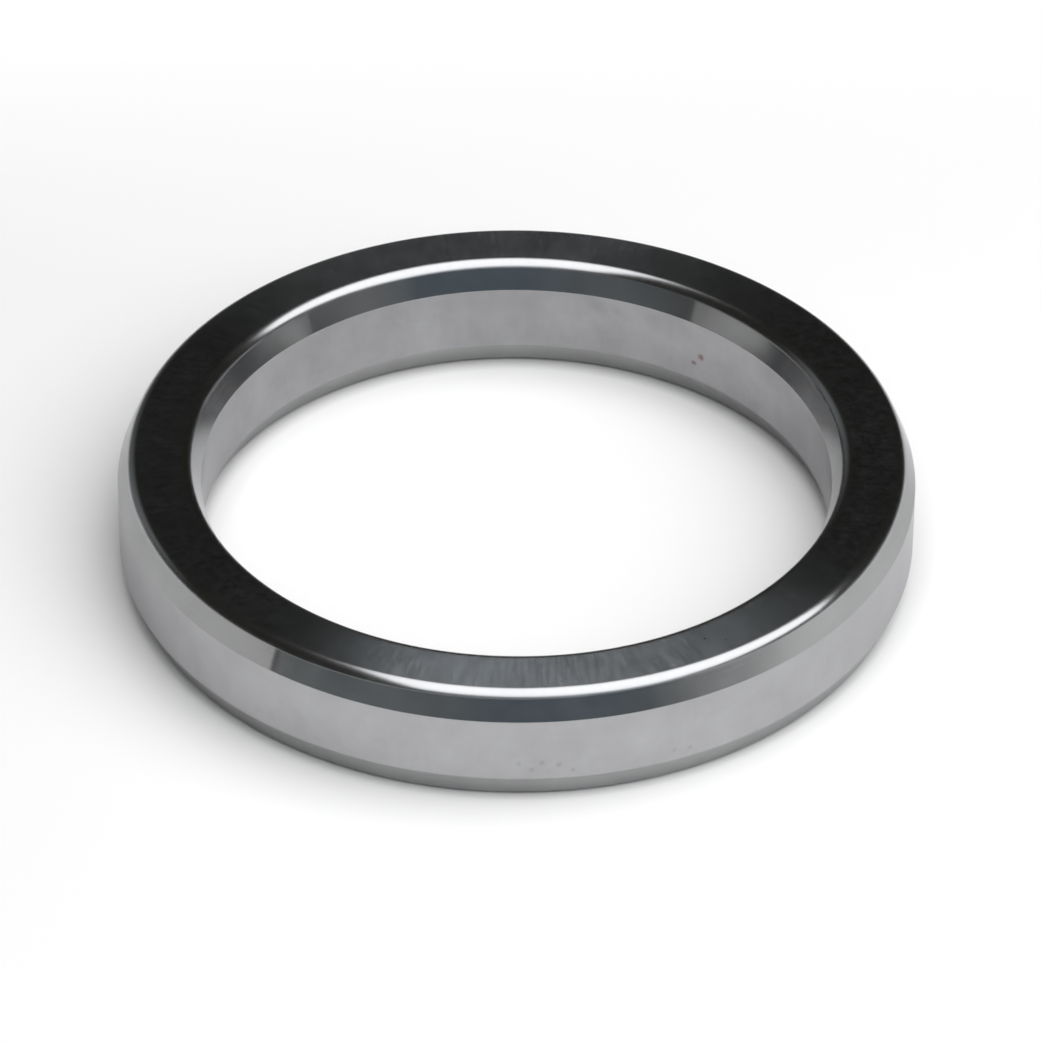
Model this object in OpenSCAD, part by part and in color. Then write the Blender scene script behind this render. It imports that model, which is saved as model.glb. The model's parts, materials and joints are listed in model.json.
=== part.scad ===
// Octagonal ring joint gasket: one turned steel ring with an eight-sided section.
// Its four sloping flanks wedge into the tapered grooves of two pipe flanges.
// The ring lies on its lower flat, with its axis along Z.

/* [Ring] */
// Pitch diameter: the circle through the middle of the section
pitch_d = 95.25; // [60:0.05:150]

/* [Section] */
// Width across the section, from the bore wall to the outside wall
section_w = 11.1; // [9.2:0.05:13.5]
// Height of the section, from the lower flat to the upper flat
section_h = 16.8; // [12:0.1:24]
// Width of each flat, between the corners as they are before rounding
flat_w = 7.9; // [5.5:0.05:9.5]
// Slope of the four seating flanks, measured from the ring's axis in degrees
flank_angle = 23; // [18:0.5:30]

/* [Corners] */
// Radius of the corners where the flats meet the flanks
flat_corner_r = 1.5; // [0.2:0.1:2]
// Radius that breaks the corners where the flanks meet the two walls
wall_corner_r = 0.3; // [0.1:0.05:1]

/* [Hidden] */

pitch_r = pitch_d / 2;
flank_w = (section_w - flat_w) / 2;
flank_h = flank_w / tan(flank_angle);
steel = [0.62, 0.63, 0.65];
ring_sides = 180;
corner_sides = 64;
// How far the rounding circles stand proud, so that they cross the straight sides cleanly.
proud = 0.00005;

// A corner of the section: its place across and up from the section's middle, and its radius.
flat_corner = [flat_w / 2, section_h / 2, flat_corner_r];
wall_corner = [section_w / 2, section_h / 2 - flank_h, wall_corner_r];

// The eight corners in order round the section, from the foot of the outside wall.
corners = [
    in_quarter(wall_corner, 1, -1),
    in_quarter(wall_corner, 1, 1),
    in_quarter(flat_corner, 1, 1),
    in_quarter(flat_corner, -1, 1),
    in_quarter(wall_corner, -1, 1),
    in_quarter(wall_corner, -1, -1),
    in_quarter(flat_corner, -1, -1),
    in_quarter(flat_corner, 1, -1),
];
last_corner = len(corners) - 1;

// The same corner mirrored into another quarter of the section.
function in_quarter(corner, across, up) = [across * corner[0], up * corner[1], corner[2]];

function place(i) = [corners[i][0], corners[i][1]];
function radius(i) = corners[i][2];
function before(i) = i == 0 ? last_corner : i - 1;
function after(i) = i == last_corner ? 0 : i + 1;
function unit(v) = v / norm(v);
function direction(i, j) = unit(place(j) - place(i));

// The angle through which the outline turns at corner i.
function turn(i) = acos(direction(before(i), i) * direction(i, after(i)));

// How far from corner i, along either side, its rounding begins.
function setback(i) = radius(i) * tan(turn(i) / 2);

// The two points where the rounding of corner i runs into the straight sides.
function rounding_ends(i) = [
    for (j = [before(i), after(i)]) place(i) + setback(i) * direction(i, j)
];

// The middle of the arc that rounds corner i.
function rounding_middle(i) =
    place(i) + radius(i) / cos(turn(i) / 2) * unit(direction(i, before(i)) + direction(i, after(i)));

// The direction from that middle to the middle of the section, in degrees.
function inward(i) = let (middle = rounding_middle(i)) atan2(-middle[1], -middle[0]);

// The octagon with every corner rounded, drawn about its own middle.
// Each circle starts and ends inside the polygon, so that each arc is one clean face.
module section() {
    polygon([for (i = [0 : last_corner]) each rounding_ends(i)]);
    for (i = [0 : last_corner])
        translate(rounding_middle(i))
            rotate(inward(i))
                circle(r = radius(i) + proud, $fn = corner_sides);
}

// The ring: the section turned about the axis, standing on its lower flat.
module gasket_ring() {
    color(steel)
        rotate_extrude($fn = ring_sides)
            translate([pitch_r, section_h / 2])
                section();
}

gasket_ring();
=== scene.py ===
"""The looks of an octagonal ring joint gasket: one bare turned steel ring on a pale studio floor."""

from __future__ import annotations

import json
import logging
import math
from dataclasses import dataclass, field
from enum import Enum

import bpy
from mathutils import Matrix, Vector

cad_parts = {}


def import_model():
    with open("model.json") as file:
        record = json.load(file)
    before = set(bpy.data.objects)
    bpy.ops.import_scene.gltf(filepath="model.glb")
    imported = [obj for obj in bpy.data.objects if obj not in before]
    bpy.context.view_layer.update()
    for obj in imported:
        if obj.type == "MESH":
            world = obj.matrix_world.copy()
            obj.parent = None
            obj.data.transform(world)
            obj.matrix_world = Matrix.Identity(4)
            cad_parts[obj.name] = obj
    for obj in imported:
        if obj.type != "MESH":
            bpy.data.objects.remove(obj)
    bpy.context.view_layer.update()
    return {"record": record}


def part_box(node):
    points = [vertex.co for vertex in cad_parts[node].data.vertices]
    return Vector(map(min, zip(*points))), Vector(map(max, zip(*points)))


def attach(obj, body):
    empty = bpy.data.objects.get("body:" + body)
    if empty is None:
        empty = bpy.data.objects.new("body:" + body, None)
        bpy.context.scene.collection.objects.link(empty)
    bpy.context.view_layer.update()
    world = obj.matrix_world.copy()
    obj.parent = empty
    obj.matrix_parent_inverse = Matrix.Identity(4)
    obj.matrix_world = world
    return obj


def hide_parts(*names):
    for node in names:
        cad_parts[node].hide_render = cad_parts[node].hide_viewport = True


log = logging.getLogger("gasket")

MM = 0.001
IMAGE_PX = 1042
SENSOR_MM = 36.0
NODE = "gasket_ring"
BODY = "root"

# The middle of a pattern that runs from 0 to 1, and a quarter of a full turn.
MIDDLE = 0.5
QUARTER_TURN = 0.25

# Where the Mix node keeps its colour sockets.
MIX_FIRST = 6
MIX_SECOND = 7
MIX_RESULT = 2

Colour = tuple[float, float, float]
Place = tuple[float, float, float]
Socket = bpy.types.NodeSocket
Sockets = bpy.types.bpy_prop_collection
Feed = Socket | float | Colour


class Stretch(Enum):
    """What each stretch of the section's outline is. The value is its material's index."""

    FLAT = 0
    CORNER = 1
    FLANK = 2
    OUTSIDE = 3
    BORE = 4


class Across(Enum):
    """Which way the turning marks are crossed: along the radius on a flat, upwards elsewhere."""

    RADIUS = "Radius"
    HEIGHT = "Height"


@dataclass(frozen=True)
class OutlinePoint:
    """One point of the section's outline, in metres from the axis and up, with its outward normal.

    `way` is the distance along the outline, and `stretch` is what follows the point.
    """

    radius: float
    height: float
    out: float
    up: float
    way: float
    stretch: Stretch


@dataclass(frozen=True)
class Corner:
    """A corner of the section before rounding: its place, its radius and what follows it."""

    radius: float
    height: float
    rounding: float
    rounded: Stretch
    then: Stretch


@dataclass(frozen=True)
class RingSection:
    """The eight-sided section of the ring, in metres."""

    bore_r: float
    outside_r: float
    height: float
    flat_w: float = 7.9 * MM
    flank_deg: float = 23.0
    flat_corner_r: float = 1.5 * MM
    wall_corner_r: float = 0.3 * MM
    flat_corner_steps: int = 16
    wall_corner_steps: int = 4
    straight_steps: int = 6

    @property
    def pitch_r(self) -> float:
        """Radius of the circle through the section's middle."""
        return (self.bore_r + self.outside_r) / 2

    @property
    def flank_h(self) -> float:
        """Height of one flank, between its corners before rounding."""
        flank_w = (self.outside_r - self.bore_r - self.flat_w) / 2
        return flank_w / math.tan(math.radians(self.flank_deg))

    def corners(self) -> list[Corner]:
        """Lists the eight corners, anticlockwise from the foot of the outside wall.

        Returns:
            The corners, each with the kind of side that follows it.
        """
        low = self.flank_h
        high = self.height - self.flank_h
        near = self.pitch_r - self.flat_w / 2
        far = self.pitch_r + self.flat_w / 2
        places = [
            (self.outside_r, low, Stretch.OUTSIDE),
            (self.outside_r, high, Stretch.FLANK),
            (far, self.height, Stretch.FLAT),
            (near, self.height, Stretch.FLANK),
            (self.bore_r, high, Stretch.BORE),
            (self.bore_r, low, Stretch.FLANK),
            (near, 0.0, Stretch.FLAT),
            (far, 0.0, Stretch.FLANK),
        ]
        corners = []
        for radius, height, then in places:
            at_flat = height in (0.0, self.height)
            rounding = self.flat_corner_r if at_flat else self.wall_corner_r
            rounded = Stretch.CORNER if at_flat else Stretch.FLANK
            corners.append(Corner(radius, height, rounding, rounded, then))
        return corners

    def outline(self) -> list[OutlinePoint]:
        """Walks round the rounded section once.

        Returns:
            The points of the closed outline, without a repeat of the first.
        """
        corners = self.corners()
        count = len(corners)
        bare: list[tuple[Vector, Vector, Stretch]] = []
        for i, corner in enumerate(corners):
            place = Vector((corner.radius, corner.height))
            back = (Vector((corners[i - 1].radius, corners[i - 1].height)) - place).normalized()
            next_corner = corners[(i + 1) % count]
            ahead = (Vector((next_corner.radius, next_corner.height)) - place).normalized()
            turn = math.pi - back.angle(ahead)
            middle = place + (back + ahead).normalized() * corner.rounding / math.cos(turn / 2)
            first = math.atan2(back.x, -back.y)
            at_flat = corner.rounded is Stretch.CORNER
            steps = self.flat_corner_steps if at_flat else self.wall_corner_steps
            for step in range(steps + 1):
                angle = first + turn * step / steps
                normal = Vector((math.cos(angle), math.sin(angle)))
                after = corner.rounded if step < steps else corner.then
                bare.append((middle + normal * corner.rounding, normal, after))
        return self._with_straights(bare)

    def _with_straights(self, bare: list[tuple[Vector, Vector, Stretch]]) -> list[OutlinePoint]:
        """Splits the straight sides into strips and measures the way round.

        Args:
            bare: The points of the rounded corners: place, normal and what follows.

        Returns:
            The finished outline.
        """
        points: list[OutlinePoint] = []
        way = 0.0
        for i, (place, normal, stretch) in enumerate(bare):
            target = bare[(i + 1) % len(bare)][0]
            steps = self.straight_steps if stretch is not bare[i - 1][2] else 1
            for step in range(steps):
                at = place.lerp(target, step / steps)
                points.append(OutlinePoint(at.x, at.y, normal.x, normal.y, way, stretch))
                way += (target - place).length / steps
        return points


@dataclass(frozen=True)
class Grain:
    """A noise pattern: its features to a metre, its finer layers and their strength.

    Where `contrast` is given, that range of the noise is stretched to 0 to 1.
    """

    per_metre: float
    layers: float
    layer_strength: float = 0.5
    contrast: tuple[float, float] | None = None


class Graph:
    """A short way to add nodes to one tree and join them."""

    def __init__(self, tree: bpy.types.NodeTree) -> None:
        """Takes hold of a tree and empties it."""
        self.tree = tree
        tree.nodes.clear()

    def add(self, kind: str, **settings: object) -> bpy.types.Node:
        """Adds one node.

        Args:
            kind: Blender's name of the node type, without its ShaderNode prefix.
            settings: Properties to set on the node.

        Returns:
            The new node.
        """
        node = self.tree.nodes.new(f"ShaderNode{kind}")
        for name, value in settings.items():
            setattr(node, name, value)
        return node

    def feed(self, target: Socket, value: Feed) -> None:
        """Links a socket to an input, or sets a plain value there.

        Args:
            target: The input.
            value: An output socket, a number or a colour.
        """
        if isinstance(value, bpy.types.NodeSocket):
            self.tree.links.new(value, target)
        elif target.type == "RGBA" and not isinstance(value, (int, float)):
            target.default_value = (*value, 1.0)
        else:
            target.default_value = value

    def math(self, operation: str, *values: Feed) -> Socket:
        """Adds a Math node.

        Args:
            operation: The operation's name.
            values: Its inputs, in order.

        Returns:
            The result.
        """
        node = self.add("Math", operation=operation)
        for target, value in zip(node.inputs, values):
            self.feed(target, value)
        return node.outputs[0]

    def vector(self, x: Feed, y: Feed, z: Feed) -> Socket:
        """Adds a Combine XYZ node.

        Args:
            x: The first part.
            y: The second part.
            z: The third part.

        Returns:
            The vector.
        """
        node = self.add("CombineXYZ")
        for target, value in zip(node.inputs, (x, y, z)):
            self.feed(target, value)
        return node.outputs[0]

    def parts(self, vector: Socket) -> Sockets:
        """Adds a Separate XYZ node.

        Args:
            vector: The vector to take apart.

        Returns:
            Its X, Y and Z.
        """
        node = self.add("SeparateXYZ")
        self.feed(node.inputs[0], vector)
        return node.outputs

    def noise(self, place: Socket, per_metre: Feed, grain: Grain) -> Socket:
        """Adds a noise texture.

        Args:
            place: Where the noise is read.
            per_metre: How many features to a metre.
            grain: Its layers and its contrast.

        Returns:
            The noise, about 0 to 1.
        """
        node = self.add("TexNoise")
        self.feed(node.inputs["Vector"], place)
        self.feed(node.inputs["Scale"], per_metre)
        self.feed(node.inputs["Detail"], grain.layers)
        self.feed(node.inputs["Roughness"], grain.layer_strength)
        if grain.contrast is None:
            return node.outputs["Fac"]
        return self.remap(node.outputs["Fac"], *grain.contrast)

    def remap(
        self, value: Feed, low: Feed, high: Feed, to_low: Feed = 0.0, to_high: Feed = 1.0
    ) -> Socket:
        """Maps one range of a value onto another and clamps it.

        Args:
            value: The value.
            low: Start of its range.
            high: End of its range.
            to_low: What the start becomes.
            to_high: What the end becomes.

        Returns:
            The mapped value.
        """
        node = self.add("MapRange", clamp=True)
        names = ("Value", "From Min", "From Max", "To Min", "To Max")
        for name, given in zip(names, (value, low, high, to_low, to_high)):
            self.feed(node.inputs[name], given)
        return node.outputs["Result"]

    def mix(self, factor: Feed, first: Feed, second: Feed) -> Socket:
        """Mixes two colours.

        Args:
            factor: 0 for the first, 1 for the second.
            first: The first colour.
            second: The second colour.

        Returns:
            The mixed colour.
        """
        node = self.add("Mix", data_type="RGBA", clamp_factor=True)
        self.feed(node.inputs[0], factor)
        self.feed(node.inputs[MIX_FIRST], first)
        self.feed(node.inputs[MIX_SECOND], second)
        return node.outputs[MIX_RESULT]

    def place(self, group: bpy.types.NodeTree, **values: Feed) -> Sockets:
        """Places a node group and sets its inputs, named with _ for a space.

        Args:
            group: The group.
            values: Its inputs.

        Returns:
            The group's outputs.
        """
        node = self.add("Group", node_tree=group)
        for name, value in values.items():
            self.feed(node.inputs[name.replace("_", " ")], value)
        return node.outputs


@dataclass
class Effects:
    """The node groups that the steel finishes share, each built once, and their patterns' sizes."""

    section: RingSection
    chatter: Grain = Grain(per_metre=1900.0, layers=3.0, layer_strength=0.6, contrast=(0.28, 0.72))
    chatter_stretch: float = 0.15
    turning: Grain = Grain(per_metre=4500.0, layers=2.0)
    turning_stretch: float = 0.02
    blotch: Grain = Grain(per_metre=140.0, layers=5.0, layer_strength=0.62, contrast=(0.3, 0.7))
    film_grain: Grain = Grain(per_metre=1100.0, layers=4.0, layer_strength=0.65, contrast=(0.38, 0.78))
    film_patch: Grain = Grain(per_metre=90.0, layers=2.0, contrast=(0.3, 0.7))
    film_thinnest: float = 0.4
    specks_per_metre: float = 700.0
    speck_share: float = 0.3
    speck_sizes: tuple[float, float] = (0.05, 0.13)
    speck_core: float = 0.5
    spot_edge: Grain = Grain(per_metre=2500.0, layers=3.0)
    spot_ragged: float = 0.6
    spot_core: float = 0.6
    spot_end: float = 1.3
    coordinates: bpy.types.NodeTree = field(init=False)
    streaks: bpy.types.NodeTree = field(init=False)
    lines: bpy.types.NodeTree = field(init=False)
    mottle: bpy.types.NodeTree = field(init=False)
    film: bpy.types.NodeTree = field(init=False)
    dust: bpy.types.NodeTree = field(init=False)
    spot: bpy.types.NodeTree = field(init=False)

    def __post_init__(self) -> None:
        """Builds the groups."""
        self.coordinates = self._coordinates()
        self.streaks = self._streaks()
        self.lines = self._lines()
        self.mottle = self._mottle()
        self.film = self._film()
        self.dust = self._dust()
        self.spot = self._spot()

    @staticmethod
    def _new(
        name: str, inputs: dict[str, float | Place], outputs: tuple[str, ...]
    ) -> tuple[Graph, Sockets, Sockets]:
        """Starts a group with the given inputs and number outputs.

        Args:
            name: The group's name.
            inputs: Names and first values of the inputs, numbers or vectors.
            outputs: Names of the outputs.

        Returns:
            The group's graph, its input node's outputs and its output node's inputs.
        """
        tree = bpy.data.node_groups.new(name, "ShaderNodeTree")
        for label, value in inputs.items():
            kind = "NodeSocketVector" if isinstance(value, tuple) else "NodeSocketFloat"
            socket = tree.interface.new_socket(label, in_out="INPUT", socket_type=kind)
            socket.default_value = value
        for label in outputs:
            tree.interface.new_socket(label, in_out="OUTPUT", socket_type="NodeSocketFloat")
        graph = Graph(tree)
        given = tree.nodes.new("NodeGroupInput")
        result = tree.nodes.new("NodeGroupOutput")
        return graph, given.outputs, result.inputs

    def _coordinates(self) -> bpy.types.NodeTree:
        """Builds the group that gives a place on the ring: round it, from its axis, and up.

        Returns:
            The group.
        """
        graph, _, result = self._new(
            "ring_coordinates", {}, ("Round X", "Round Y", "Radius", "Height")
        )
        x, y, z = graph.parts(graph.add("TexCoord").outputs["Object"])
        squares = graph.math("ADD", graph.math("MULTIPLY", x, x), graph.math("MULTIPLY", y, y))
        radius = graph.math("SQRT", squares)
        for label, value in (("Round X", x), ("Round Y", y)):
            share = graph.math("DIVIDE", value, radius)
            graph.feed(result[label], graph.math("MULTIPLY", share, self.section.pitch_r))
        graph.feed(result["Radius"], radius)
        graph.feed(result["Height"], z)
        return graph.tree

    def _streaks(self) -> bpy.types.NodeTree:
        """Builds the group of chatter streaks, which run across the turning marks.

        Returns:
            The group.
        """
        graph, given, result = self._new(
            "chatter_streaks",
            {"Across": 0.0, "Per metre": self.chatter.per_metre, "Stretch": self.chatter_stretch},
            ("Streak",),
        )
        ring = graph.place(self.coordinates)
        along = graph.math("MULTIPLY", given["Across"], given["Stretch"])
        place = graph.vector(ring["Round X"], ring["Round Y"], along)
        graph.feed(result["Streak"], graph.noise(place, given["Per metre"], self.chatter))
        return graph.tree

    def _lines(self) -> bpy.types.NodeTree:
        """Builds the group of fine turning lines, which run round the ring.

        Returns:
            The group.
        """
        graph, given, result = self._new(
            "turning_lines",
            {"Across": 0.0, "Per metre": self.turning.per_metre, "Stretch": self.turning_stretch},
            ("Line",),
        )
        ring = graph.place(self.coordinates)
        round_x = graph.math("MULTIPLY", ring["Round X"], given["Stretch"])
        round_y = graph.math("MULTIPLY", ring["Round Y"], given["Stretch"])
        place = graph.vector(round_x, round_y, given["Across"])
        graph.feed(result["Line"], graph.noise(place, given["Per metre"], self.turning))
        return graph.tree

    def _mottle(self) -> bpy.types.NodeTree:
        """Builds the group of soft blotches left by handling and oil.

        Returns:
            The group.
        """
        graph, given, result = self._new(
            "handling_mottle", {"Per metre": self.blotch.per_metre}, ("Mottle",)
        )
        place = graph.add("TexCoord").outputs["Object"]
        graph.feed(result["Mottle"], graph.noise(place, given["Per metre"], self.blotch))
        return graph.tree

    def _film(self) -> bpy.types.NodeTree:
        """Builds the group of a thin grainy film of dust, thicker in some places.

        Returns:
            The group.
        """
        graph, given, result = self._new(
            "dust_film",
            {"Per metre": self.film_grain.per_metre, "Patches per metre": self.film_patch.per_metre},
            ("Film",),
        )
        place = graph.add("TexCoord").outputs["Object"]
        grain = graph.noise(place, given["Per metre"], self.film_grain)
        patch = graph.noise(place, given["Patches per metre"], self.film_patch)
        thickness = graph.remap(patch, 0.0, 1.0, self.film_thinnest, 1.0)
        graph.feed(result["Film"], graph.math("MULTIPLY", grain, thickness))
        return graph.tree

    def _dust(self) -> bpy.types.NodeTree:
        """Builds the group of small specks, some of the cells of a fine cell pattern.

        Returns:
            The group.
        """
        graph, given, result = self._new(
            "dust_specks", {"Per metre": self.specks_per_metre, "Share": self.speck_share}, ("Speck",)
        )
        cells = graph.add("TexVoronoi")
        graph.feed(cells.inputs["Vector"], graph.add("TexCoord").outputs["Object"])
        graph.feed(cells.inputs["Scale"], given["Per metre"])
        split = graph.add("SeparateColor")
        graph.feed(split.inputs[0], cells.outputs["Color"])
        chance, girth, strength = split.outputs
        chosen = graph.math("LESS_THAN", chance, given["Share"])
        size = graph.remap(girth, 0.0, 1.0, *self.speck_sizes)
        away = graph.math("DIVIDE", cells.outputs["Distance"], size)
        dot = graph.remap(away, self.speck_core, 1.0, 1.0, 0.0)
        speck = graph.math("MULTIPLY", graph.math("MULTIPLY", dot, chosen), strength)
        graph.feed(result["Speck"], speck)
        return graph.tree

    def _spot(self) -> bpy.types.NodeTree:
        """Builds the group of one ragged spot at a given place.

        Returns:
            The group.
        """
        graph, given, result = self._new(
            "ragged_spot",
            {"Centre": (0.0, 0.0, 0.0), "Size": MM, "Ragged": self.spot_ragged},
            ("Spot",),
        )
        place = graph.add("TexCoord").outputs["Object"]
        apart = graph.add("VectorMath", operation="DISTANCE")
        graph.feed(apart.inputs[0], place)
        graph.feed(apart.inputs[1], given["Centre"])
        away = graph.math("DIVIDE", apart.outputs["Value"], given["Size"])
        edge = graph.noise(place, self.spot_edge.per_metre, self.spot_edge)
        reach = graph.math("ADD", away, graph.math("MULTIPLY", edge, given["Ragged"]))
        graph.feed(result["Spot"], graph.remap(reach, self.spot_core, self.spot_end, 1.0, 0.0))
        return graph.tree


@dataclass(frozen=True)
class Spot:
    """A small stain or scuff on a wall. The azimuth is 0 at the front and grows to the right."""

    azimuth_deg: float
    height: float
    size: float
    colour: Colour
    strength: float

    def centre(self, wall_r: float) -> Place:
        """Gives the spot's place on a wall of the given radius."""
        azimuth = math.radians(self.azimuth_deg)
        return math.sin(azimuth) * wall_r, -math.cos(azimuth) * wall_r, self.height


@dataclass(frozen=True)
class TurnedSteel:
    """One finish of the turned steel.

    The steel's tone runs from `dark` and `smooth` to `light` and `rough`, and `mottle`, `streak` and `line`
    weigh the patterns in it. `dust`, `film` and `groove` are strengths. `front_wear` is added to the
    roughness at the front and taken from it at the back.
    """

    name: str
    across: Across
    dark: Colour
    light: Colour
    smooth: float
    rough: float
    mottle: float
    streak: float
    line: float
    anisotropy: float = 0.8
    dust: float = 0.04
    film: float = 0.01
    groove: float = 0.1
    front_wear: float = 0.0
    spots: tuple[Spot, ...] = ()
    edge_tint: Colour = (0.78, 0.78, 0.79)
    dust_colour: Colour = (0.024, 0.022, 0.018)
    dust_opaque_at: float = 0.25
    dust_roughness: float = 0.6
    groove_depth: float = 0.004 * MM

    def material(self, effects: Effects, wall_r: float) -> bpy.types.Material:
        """Builds the material.

        Args:
            effects: The shared node groups.
            wall_r: Radius of the wall that the spots are on.

        Returns:
            The material.
        """
        material = bpy.data.materials.new(self.name)
        material.use_nodes = True
        graph = Graph(material.node_tree)
        ring = graph.place(effects.coordinates)
        across = ring[self.across.value]
        line = graph.place(effects.lines, Across=across)["Line"]
        streak = graph.place(effects.streaks, Across=across)["Streak"]
        mottle = graph.place(effects.mottle)["Mottle"]
        dust = graph.math("MULTIPLY", graph.place(effects.dust)["Speck"], self.dust)
        film = graph.math("MULTIPLY", graph.place(effects.film)["Film"], self.film)
        tone: Feed = MIDDLE
        for pattern, weight in ((mottle, self.mottle), (streak, self.streak), (line, self.line)):
            tone = graph.math("MULTIPLY_ADD", graph.math("SUBTRACT", pattern, MIDDLE), weight, tone)
        half = effects.section.pitch_r
        wear = graph.remap(ring["Round Y"], -half, half, self.front_wear, -self.front_wear)
        worn = graph.math("ADD", graph.remap(tone, 0.0, 1.0, self.smooth, self.rough), wear)
        steel = graph.add("BsdfPrincipled")
        steel.inputs["Specular Tint"].default_value = (*self.edge_tint, 1.0)
        steel.inputs["Anisotropic"].default_value = self.anisotropy
        steel.inputs["Anisotropic Rotation"].default_value = QUARTER_TURN
        tangent = graph.add("Tangent", direction_type="RADIAL", axis="Z")
        graph.feed(steel.inputs["Tangent"], tangent.outputs[0])
        graph.feed(steel.inputs["Base Color"], self._colour(graph, effects, wall_r, tone, dust))
        covered = graph.math("MAXIMUM", film, dust)
        graph.feed(steel.inputs["Metallic"], graph.math("SUBTRACT", 1.0, covered))
        graph.feed(steel.inputs["Roughness"], graph.remap(dust, 0.0, 1.0, worn, self.dust_roughness))
        graph.feed(steel.inputs["Normal"], self._grooves(graph, line))
        graph.feed(graph.add("OutputMaterial").inputs["Surface"], steel.outputs[0])
        return material

    def _colour(
        self, graph: Graph, effects: Effects, wall_r: float, tone: Socket, dust: Socket
    ) -> Socket:
        """Mixes the steel's colour, with its spots and its dust.

        Args:
            graph: The material's graph.
            effects: The shared node groups.
            wall_r: Radius of the wall that the spots are on.
            tone: How light the steel is, 0 to 1.
            dust: How thick the specks of dust are, 0 to 1.

        Returns:
            The colour.
        """
        colour = graph.mix(tone, self.dark, self.light)
        for spot in self.spots:
            mask = graph.place(effects.spot, Centre=spot.centre(wall_r), Size=spot.size)["Spot"]
            colour = graph.mix(graph.math("MULTIPLY", mask, spot.strength), colour, spot.colour)
        return graph.mix(graph.remap(dust, 0.0, self.dust_opaque_at), colour, self.dust_colour)

    def _grooves(self, graph: Graph, line: Socket) -> Socket:
        """Raises the fine turning lines.

        Args:
            graph: The material's graph.
            line: The lines' height, 0 to 1.

        Returns:
            The normal.
        """
        bump = graph.add("Bump")
        bump.inputs["Strength"].default_value = self.groove
        bump.inputs["Distance"].default_value = self.groove_depth
        graph.feed(bump.inputs["Height"], line)
        return bump.outputs["Normal"]


RUST = (0.16, 0.072, 0.066)
STAIN = (0.24, 0.24, 0.24)
SCUFF = (0.20, 0.20, 0.20)
BORE_SPOTS = (
    Spot(azimuth_deg=143.2, height=7.9 * MM, size=0.70 * MM, colour=RUST, strength=0.75),
    Spot(azimuth_deg=144.8, height=6.5 * MM, size=0.50 * MM, colour=RUST, strength=0.65),
    Spot(azimuth_deg=165.0, height=11.6 * MM, size=1.6 * MM, colour=STAIN, strength=0.45),
    Spot(azimuth_deg=161.0, height=11.2 * MM, size=1.1 * MM, colour=STAIN, strength=0.4),
)
OUTSIDE_SPOTS = (
    Spot(azimuth_deg=0.6, height=6.3 * MM, size=0.40 * MM, colour=SCUFF, strength=0.3),
    Spot(azimuth_deg=2.4, height=5.3 * MM, size=0.50 * MM, colour=SCUFF, strength=0.3),
    Spot(azimuth_deg=3.8, height=6.4 * MM, size=0.50 * MM, colour=SCUFF, strength=0.35),
    Spot(azimuth_deg=6.2, height=6.0 * MM, size=0.55 * MM, colour=SCUFF, strength=0.35),
    Spot(azimuth_deg=8.2, height=5.0 * MM, size=0.45 * MM, colour=SCUFF, strength=0.3),
    Spot(azimuth_deg=22.8, height=5.5 * MM, size=0.50 * MM, colour=SCUFF, strength=0.25),
    Spot(azimuth_deg=25.2, height=5.2 * MM, size=0.45 * MM, colour=SCUFF, strength=0.25),
)
FINISHES = {
    Stretch.FLAT: TurnedSteel(
        name="turned_flat",
        across=Across.RADIUS,
        dark=(0.305, 0.325, 0.350),
        light=(0.420, 0.455, 0.490),
        smooth=0.185,
        rough=0.215,
        mottle=0.6,
        streak=0.6,
        line=0.3,
        anisotropy=0.9,
        dust=0.8,
        film=0.030,
        front_wear=0.024,
    ),
    Stretch.CORNER: TurnedSteel(
        name="rounded_corner",
        across=Across.HEIGHT,
        dark=(0.38, 0.385, 0.395),
        light=(0.42, 0.425, 0.435),
        smooth=0.20,
        rough=0.24,
        mottle=0.5,
        streak=0.3,
        line=0.2,
        groove=0.0,
    ),
    Stretch.FLANK: TurnedSteel(
        name="seating_flank",
        across=Across.HEIGHT,
        dark=(0.322, 0.324, 0.325),
        light=(0.382, 0.384, 0.385),
        smooth=0.10,
        rough=0.13,
        mottle=0.9,
        streak=0.1,
        line=0.8,
        anisotropy=0.9,
    ),
    Stretch.OUTSIDE: TurnedSteel(
        name="outside_wall",
        across=Across.HEIGHT,
        dark=(0.365, 0.365, 0.375),
        light=(0.435, 0.435, 0.445),
        smooth=0.19,
        rough=0.23,
        mottle=0.9,
        streak=0.2,
        line=0.4,
        spots=OUTSIDE_SPOTS,
    ),
    # Painted shade: the bore's steel is darker than the outside wall's, standing in for the dimmer light
    # the bore reflects inside the ring.
    Stretch.BORE: TurnedSteel(
        name="bored_wall",
        across=Across.HEIGHT,
        dark=(0.275, 0.275, 0.285),
        light=(0.355, 0.355, 0.365),
        smooth=0.19,
        rough=0.23,
        mottle=1.0,
        streak=0.2,
        line=0.4,
        spots=BORE_SPOTS,
    ),
}


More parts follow.
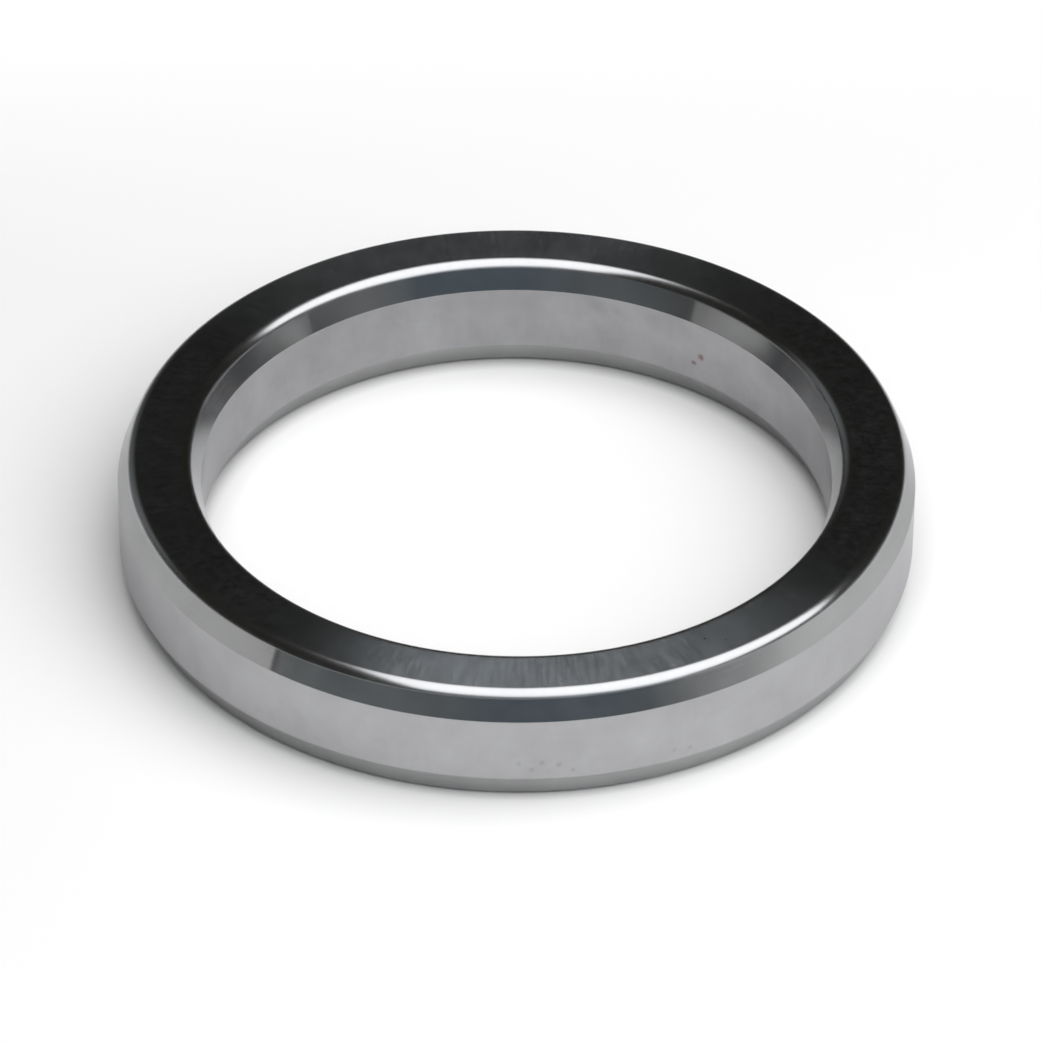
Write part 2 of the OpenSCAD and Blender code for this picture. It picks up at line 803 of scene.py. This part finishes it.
@dataclass
class GasketRing:
    """The ring itself: a finely turned mesh that stands for the CAD node."""

    section: RingSection
    name: str = "turned_ring"
    segments: int = 480
    sectors: int = 3
    bake_margin: float = 0.01

    def build(self) -> bpy.types.Object:
        """Turns the outline about the axis.

        Returns:
            The ring's object, undressed.
        """
        outline = self.section.outline()
        count = len(outline)
        vertices: list[Vector] = []
        normals: list[Vector] = []
        for i in range(self.segments):
            angle = 2 * math.pi * i / self.segments
            x, y = math.cos(angle), math.sin(angle)
            for point in outline:
                vertices.append(Vector((x * point.radius, y * point.radius, point.height)))
                normals.append(Vector((x * point.out, y * point.out, point.up)))
        faces: list[tuple[int, int, int, int]] = []
        for i in range(self.segments):
            here = i * count
            beside = (i + 1) % self.segments * count
            for j in range(count):
                after = (j + 1) % count
                faces.append((here + j, beside + j, beside + after, here + after))
        mesh = bpy.data.meshes.new(self.name)
        mesh.from_pydata(vertices, [], faces)
        finishes = [point.stretch.value for point in outline] * self.segments
        mesh.polygons.foreach_set("material_index", finishes)
        mesh.polygons.foreach_set("use_smooth", [True] * len(faces))
        mesh.normals_split_custom_set_from_vertices(normals)
        self._unroll(mesh, outline)
        ring = bpy.data.objects.new(self.name, mesh)
        bpy.context.scene.collection.objects.link(ring)
        return ring

    def _unroll(self, mesh: bpy.types.Mesh, outline: list[OutlinePoint]) -> None:
        """Lays the ring out flat in equal sectors, one above another.

        Args:
            mesh: The ring's mesh.
            outline: The outline that it was turned from.
        """
        margin = self.bake_margin
        inner = 1 - 2 * margin
        girth = 2 * outline[-1].way - outline[-2].way
        per_sector = self.segments // self.sectors
        layer = mesh.uv_layers.new(name="OFBake")
        flat: list[float] = []
        for i in range(self.segments):
            row, column = divmod(i, per_sector)
            for j, point in enumerate(outline):
                way_after = outline[j + 1].way if j + 1 < len(outline) else girth
                for across, way in ((0, point.way), (1, point.way), (1, way_after), (0, way_after)):
                    u = margin + (column + across) / per_sector * inner
                    v = (row + margin + way / girth * inner) / self.sectors
                    flat.extend((u, v))
        layer.data.foreach_set("uv", flat)

    def dress(self, ring: bpy.types.Object) -> None:
        """Gives each stretch of the section its finish.

        Args:
            ring: The ring's object.
        """
        effects = Effects(self.section)
        for stretch in Stretch:
            in_bore = stretch is Stretch.BORE
            wall_r = self.section.bore_r if in_bore else self.section.outside_r
            ring.data.materials.append(FINISHES[stretch].material(effects, wall_r))


@dataclass(frozen=True)
class PhotoCamera:
    """The camera, in front of the ring and above it."""

    name: str = "photo_camera"
    elevation_deg: float = 37.114
    distance: float = 1019.24 * MM
    focal_px: float = 7616.5
    pan_deg: float = -0.036
    tilt_deg: float = -0.132
    roll_deg: float = 0.430
    aim_height: float = 8 * MM

    def build(self) -> bpy.types.Object:
        """Makes the camera and hands it to the scene.

        Returns:
            The camera's object.
        """
        data = bpy.data.cameras.new(self.name)
        data.sensor_width = SENSOR_MM
        data.lens = SENSOR_MM * self.focal_px / IMAGE_PX
        camera = bpy.data.objects.new(self.name, data)
        elevation = math.radians(self.elevation_deg)
        back = Vector((0.0, -math.cos(elevation), math.sin(elevation)))
        right = Vector((1.0, 0.0, 0.0))
        turned = Matrix((right, back.cross(right), back)).transposed()
        for degrees, axis in ((self.pan_deg, "Y"), (self.tilt_deg, "X"), (self.roll_deg, "Z")):
            turned = turned @ Matrix.Rotation(math.radians(degrees), 3, axis)
        place = Vector((0.0, 0.0, self.aim_height)) + back * self.distance
        camera.matrix_world = Matrix.Translation(place) @ turned.to_4x4()
        bpy.context.scene.collection.objects.link(camera)
        bpy.context.scene.camera = camera
        return camera


@dataclass(frozen=True)
class SoftBox:
    """A soft rectangular lamp.

    Seen from behind, its light grows from `start` at the left end to full over the share `rise` of its
    width, and falls to nothing over the share `fall` at the right end.
    """

    name: str
    place: Place
    aim: Place
    width: float
    depth: float
    radiance: float
    colour: Colour = (1.0, 1.0, 1.0)
    turn_deg: float = 0.0
    start: float = 1.0
    rise: float = 1.0
    fall: float = 0.0

    def build(self) -> None:
        """Hangs the lamp."""
        data = bpy.data.lights.new(self.name, "AREA")
        data.shape = "RECTANGLE"
        data.size = self.width
        data.size_y = self.depth
        data.color = self.colour
        data.energy = self.radiance * math.pi * self.width * self.depth
        if self.start < 1.0 or self.fall > 0.0:
            self._fade(data)
        lamp = bpy.data.objects.new(self.name, data)
        aimed = (Vector(self.aim) - Vector(self.place)).to_track_quat("-Z", "Y").to_matrix()
        turned = Matrix.Rotation(math.radians(self.turn_deg), 4, "Z")
        lamp.matrix_world = Matrix.Translation(self.place) @ aimed.to_4x4() @ turned
        lamp.visible_camera = False
        bpy.context.scene.collection.objects.link(lamp)

    def _fade(self, data: bpy.types.Light) -> None:
        """Lets the lamp fade across its width.

        Args:
            data: The lamp's data.
        """
        data.use_nodes = True
        graph = Graph(data.node_tree)
        along = graph.parts(graph.add("NewGeometry").outputs["Parametric"])["X"]
        strength = graph.remap(along, 0.0, self.rise, self.start, 1.0)
        if self.fall > 0.0:
            ending = graph.remap(along, 1.0, 1.0 - self.fall)
            strength = graph.math("MULTIPLY", strength, ending)
        glow = graph.add("Emission")
        graph.feed(glow.inputs["Strength"], strength)
        graph.feed(graph.add("OutputLight").inputs["Surface"], glow.outputs[0])


PALE_COOL = (0.93, 0.97, 1.0)
COOL = (0.81, 0.92, 1.0)
COLD = (0.58, 0.785, 1.0)
LAMPS = (
    SoftBox(
        name="back_softbox",
        place=(0.629, -0.098, 0.75),
        aim=(0.629, -0.098, 0.0),
        width=1.735,
        depth=0.80,
        radiance=2.45,
        turn_deg=-15.0,
    ),
    SoftBox(
        name="front_softbox",
        place=(0.434, -0.829, 0.75),
        aim=(0.434, -0.829, 0.0),
        width=1.745,
        depth=0.75,
        radiance=2.38,
        turn_deg=-15.0,
    ),
    SoftBox(
        name="left_card",
        place=(-0.40, 0.012, 0.0),
        aim=(0.0, 0.012, 0.0),
        width=0.437,
        depth=0.11,
        radiance=0.69,
        start=0.68,
    ),
    SoftBox(
        name="right_card",
        place=(0.9, 0.25, 0.03),
        aim=(0.0, 0.25, 0.03),
        width=1.0,
        depth=0.19,
        radiance=0.50,
        colour=PALE_COOL,
        start=0.62,
        rise=0.35,
    ),
    SoftBox(
        name="right_front_card",
        place=(0.9, -0.80, 0.077),
        aim=(0.0, -0.80, 0.077),
        width=1.10,
        depth=0.25,
        radiance=0.41,
        colour=PALE_COOL,
        turn_deg=-14.8,
        start=0.0,
        rise=0.57,
    ),
    SoftBox(
        name="back_left_card",
        place=(-0.85, 0.85, 0.53),
        aim=(0.0, 0.0, 0.53),
        width=1.5,
        depth=0.86,
        radiance=0.22,
        colour=PALE_COOL,
        start=0.0,
        rise=0.55,
        fall=0.4,
    ),
    SoftBox(
        name="left_front_glow",
        place=(-0.70, -1.07, 0.16),
        aim=(0.0, 0.0, 0.16),
        width=1.50,
        depth=0.3,
        radiance=0.215,
        colour=COOL,
        turn_deg=16.0,
        start=0.95,
        rise=0.6,
        fall=0.33,
    ),
    SoftBox(
        name="front_fill",
        place=(0.259, -1.374, 0.47),
        aim=(-0.211, -0.104, 0.47),
        width=1.89,
        depth=0.7,
        radiance=0.195,
        colour=COLD,
        start=0.0,
        rise=0.317,
        fall=0.225,
    ),
)


@dataclass(frozen=True)
class Studio:
    """The pale floor, the lamps and the dim room round them."""

    section: RingSection
    floor_half: float = 3.0
    floor_drop: float = 0.01 * MM
    floor_colour: Colour = (0.905, 0.905, 0.905)
    # Painted shadow: the paper takes this darker colour in a band round the ring's foot, in place of a
    # contact shadow.
    contact_shadow_colour: Colour = (0.65, 0.65, 0.65)
    contact_shadow_inside: float = 0.4 * MM
    contact_shadow_outside: float = 1.8 * MM
    contact_shadow_shift: float = 0.5 * MM
    white_from: float = 60.0 * MM
    white_to: float = 120.0 * MM
    paper_roughness: float = 0.9
    paper_specular: float = 0.1
    room_colour: Colour = (0.024, 0.0235, 0.019)

    def build(self) -> None:
        """Lays the floor and lights the room."""
        half = self.floor_half
        sides = ((-half, -half), (half, -half), (half, half), (-half, half))
        mesh = bpy.data.meshes.new("floor")
        mesh.from_pydata([(x, y, -self.floor_drop) for x, y in sides], [], [(0, 1, 2, 3)])
        floor = bpy.data.objects.new("floor", mesh)
        bpy.context.scene.collection.objects.link(floor)
        mesh.materials.append(self._paper())
        self._room()
        for lamp in LAMPS:
            lamp.build()

    def _paper(self) -> bpy.types.Material:
        """Makes the floor's paper: a painted contact shadow makes it darker where the ring touches it, and
        it is plain white behind it.

        Returns:
            The material.
        """
        material = bpy.data.materials.new("floor_paper")
        material.use_nodes = True
        graph = Graph(material.node_tree)
        place = graph.add("TexCoord").outputs["Object"]
        paper = graph.add("BsdfPrincipled")
        unshadowed_share = self._unshadowed_share(graph, place)
        # Painted shadow: darker paper under the ring's foot stands in for its contact shadow.
        colour = graph.mix(unshadowed_share, self.contact_shadow_colour, self.floor_colour)
        graph.feed(paper.inputs["Base Color"], colour)
        paper.inputs["Roughness"].default_value = self.paper_roughness
        paper.inputs["Specular IOR Level"].default_value = self.paper_specular
        far = graph.remap(graph.parts(place)["Y"], self.white_from, self.white_to)
        path = graph.add("LightPath").outputs
        seen = graph.math("MAXIMUM", path["Is Camera Ray"], path["Is Glossy Ray"])
        seen = graph.math("MAXIMUM", seen, path["Is Transmission Ray"])
        white = graph.add("Emission")
        blend = graph.add("MixShader")
        graph.feed(blend.inputs[0], graph.math("MULTIPLY", far, seen))
        graph.feed(blend.inputs[1], paper.outputs[0])
        graph.feed(blend.inputs[2], white.outputs[0])
        graph.feed(graph.add("OutputMaterial").inputs["Surface"], blend.outputs[0])
        return material

    def _unshadowed_share(self, graph: Graph, place: Socket) -> Socket:
        """Measures where the painted contact shadow fades out: 0 under the ring and 1 away from it.

        Args:
            graph: The floor material's graph.
            place: The place on the floor.

        Returns:
            The share.
        """
        away = graph.add("VectorMath", operation="LENGTH")
        graph.feed(away.inputs[0], place)
        contact_r = self.section.pitch_r - self.contact_shadow_shift
        off_contact = graph.math("ABSOLUTE", graph.math("SUBTRACT", away.outputs["Value"], contact_r))
        edge = self.section.flat_w / 2
        return graph.remap(off_contact, edge - self.contact_shadow_inside, edge + self.contact_shadow_outside)

    def _room(self) -> None:
        """Makes the dim room round the lamps."""
        world = bpy.data.worlds.new("dim_room")
        world.use_nodes = True
        room = Graph(world.node_tree)
        background = room.add("Background")
        room.feed(background.inputs["Color"], self.room_colour)
        room.feed(room.add("OutputWorld").inputs["Surface"], background.outputs[0])
        bpy.context.scene.world = world


def main() -> None:
    """Builds the ring and its studio."""
    logging.basicConfig(level=logging.INFO, format="%(name)s: %(message)s")
    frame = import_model()
    low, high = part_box(NODE)
    bore = next(mount for mount in frame["record"]["mounts"] if mount["name"] == "bore")
    section = RingSection(
        bore_r=bore["dims"]["r_mm"] * MM,
        outside_r=(high[0] - low[0]) / 2,
        height=high[2] - low[2],
    )
    camera = PhotoCamera().build()
    log.info("%s: %.1f mm lens", camera.name, camera.data.lens)
    Studio(section).build()
    log.info("studio: %d lamps", len(LAMPS))
    gasket = GasketRing(section)
    ring = gasket.build()
    gasket.dress(ring)
    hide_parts(NODE)
    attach(ring, BODY)
    outside_mm = section.outside_r / MM
    log.info("%s: %d faces, outside radius %.3f mm", ring.name, len(ring.data.polygons), outside_mm)
    bpy.context.scene.view_settings.view_transform = "Standard"


if __name__ == "__main__":
    main()
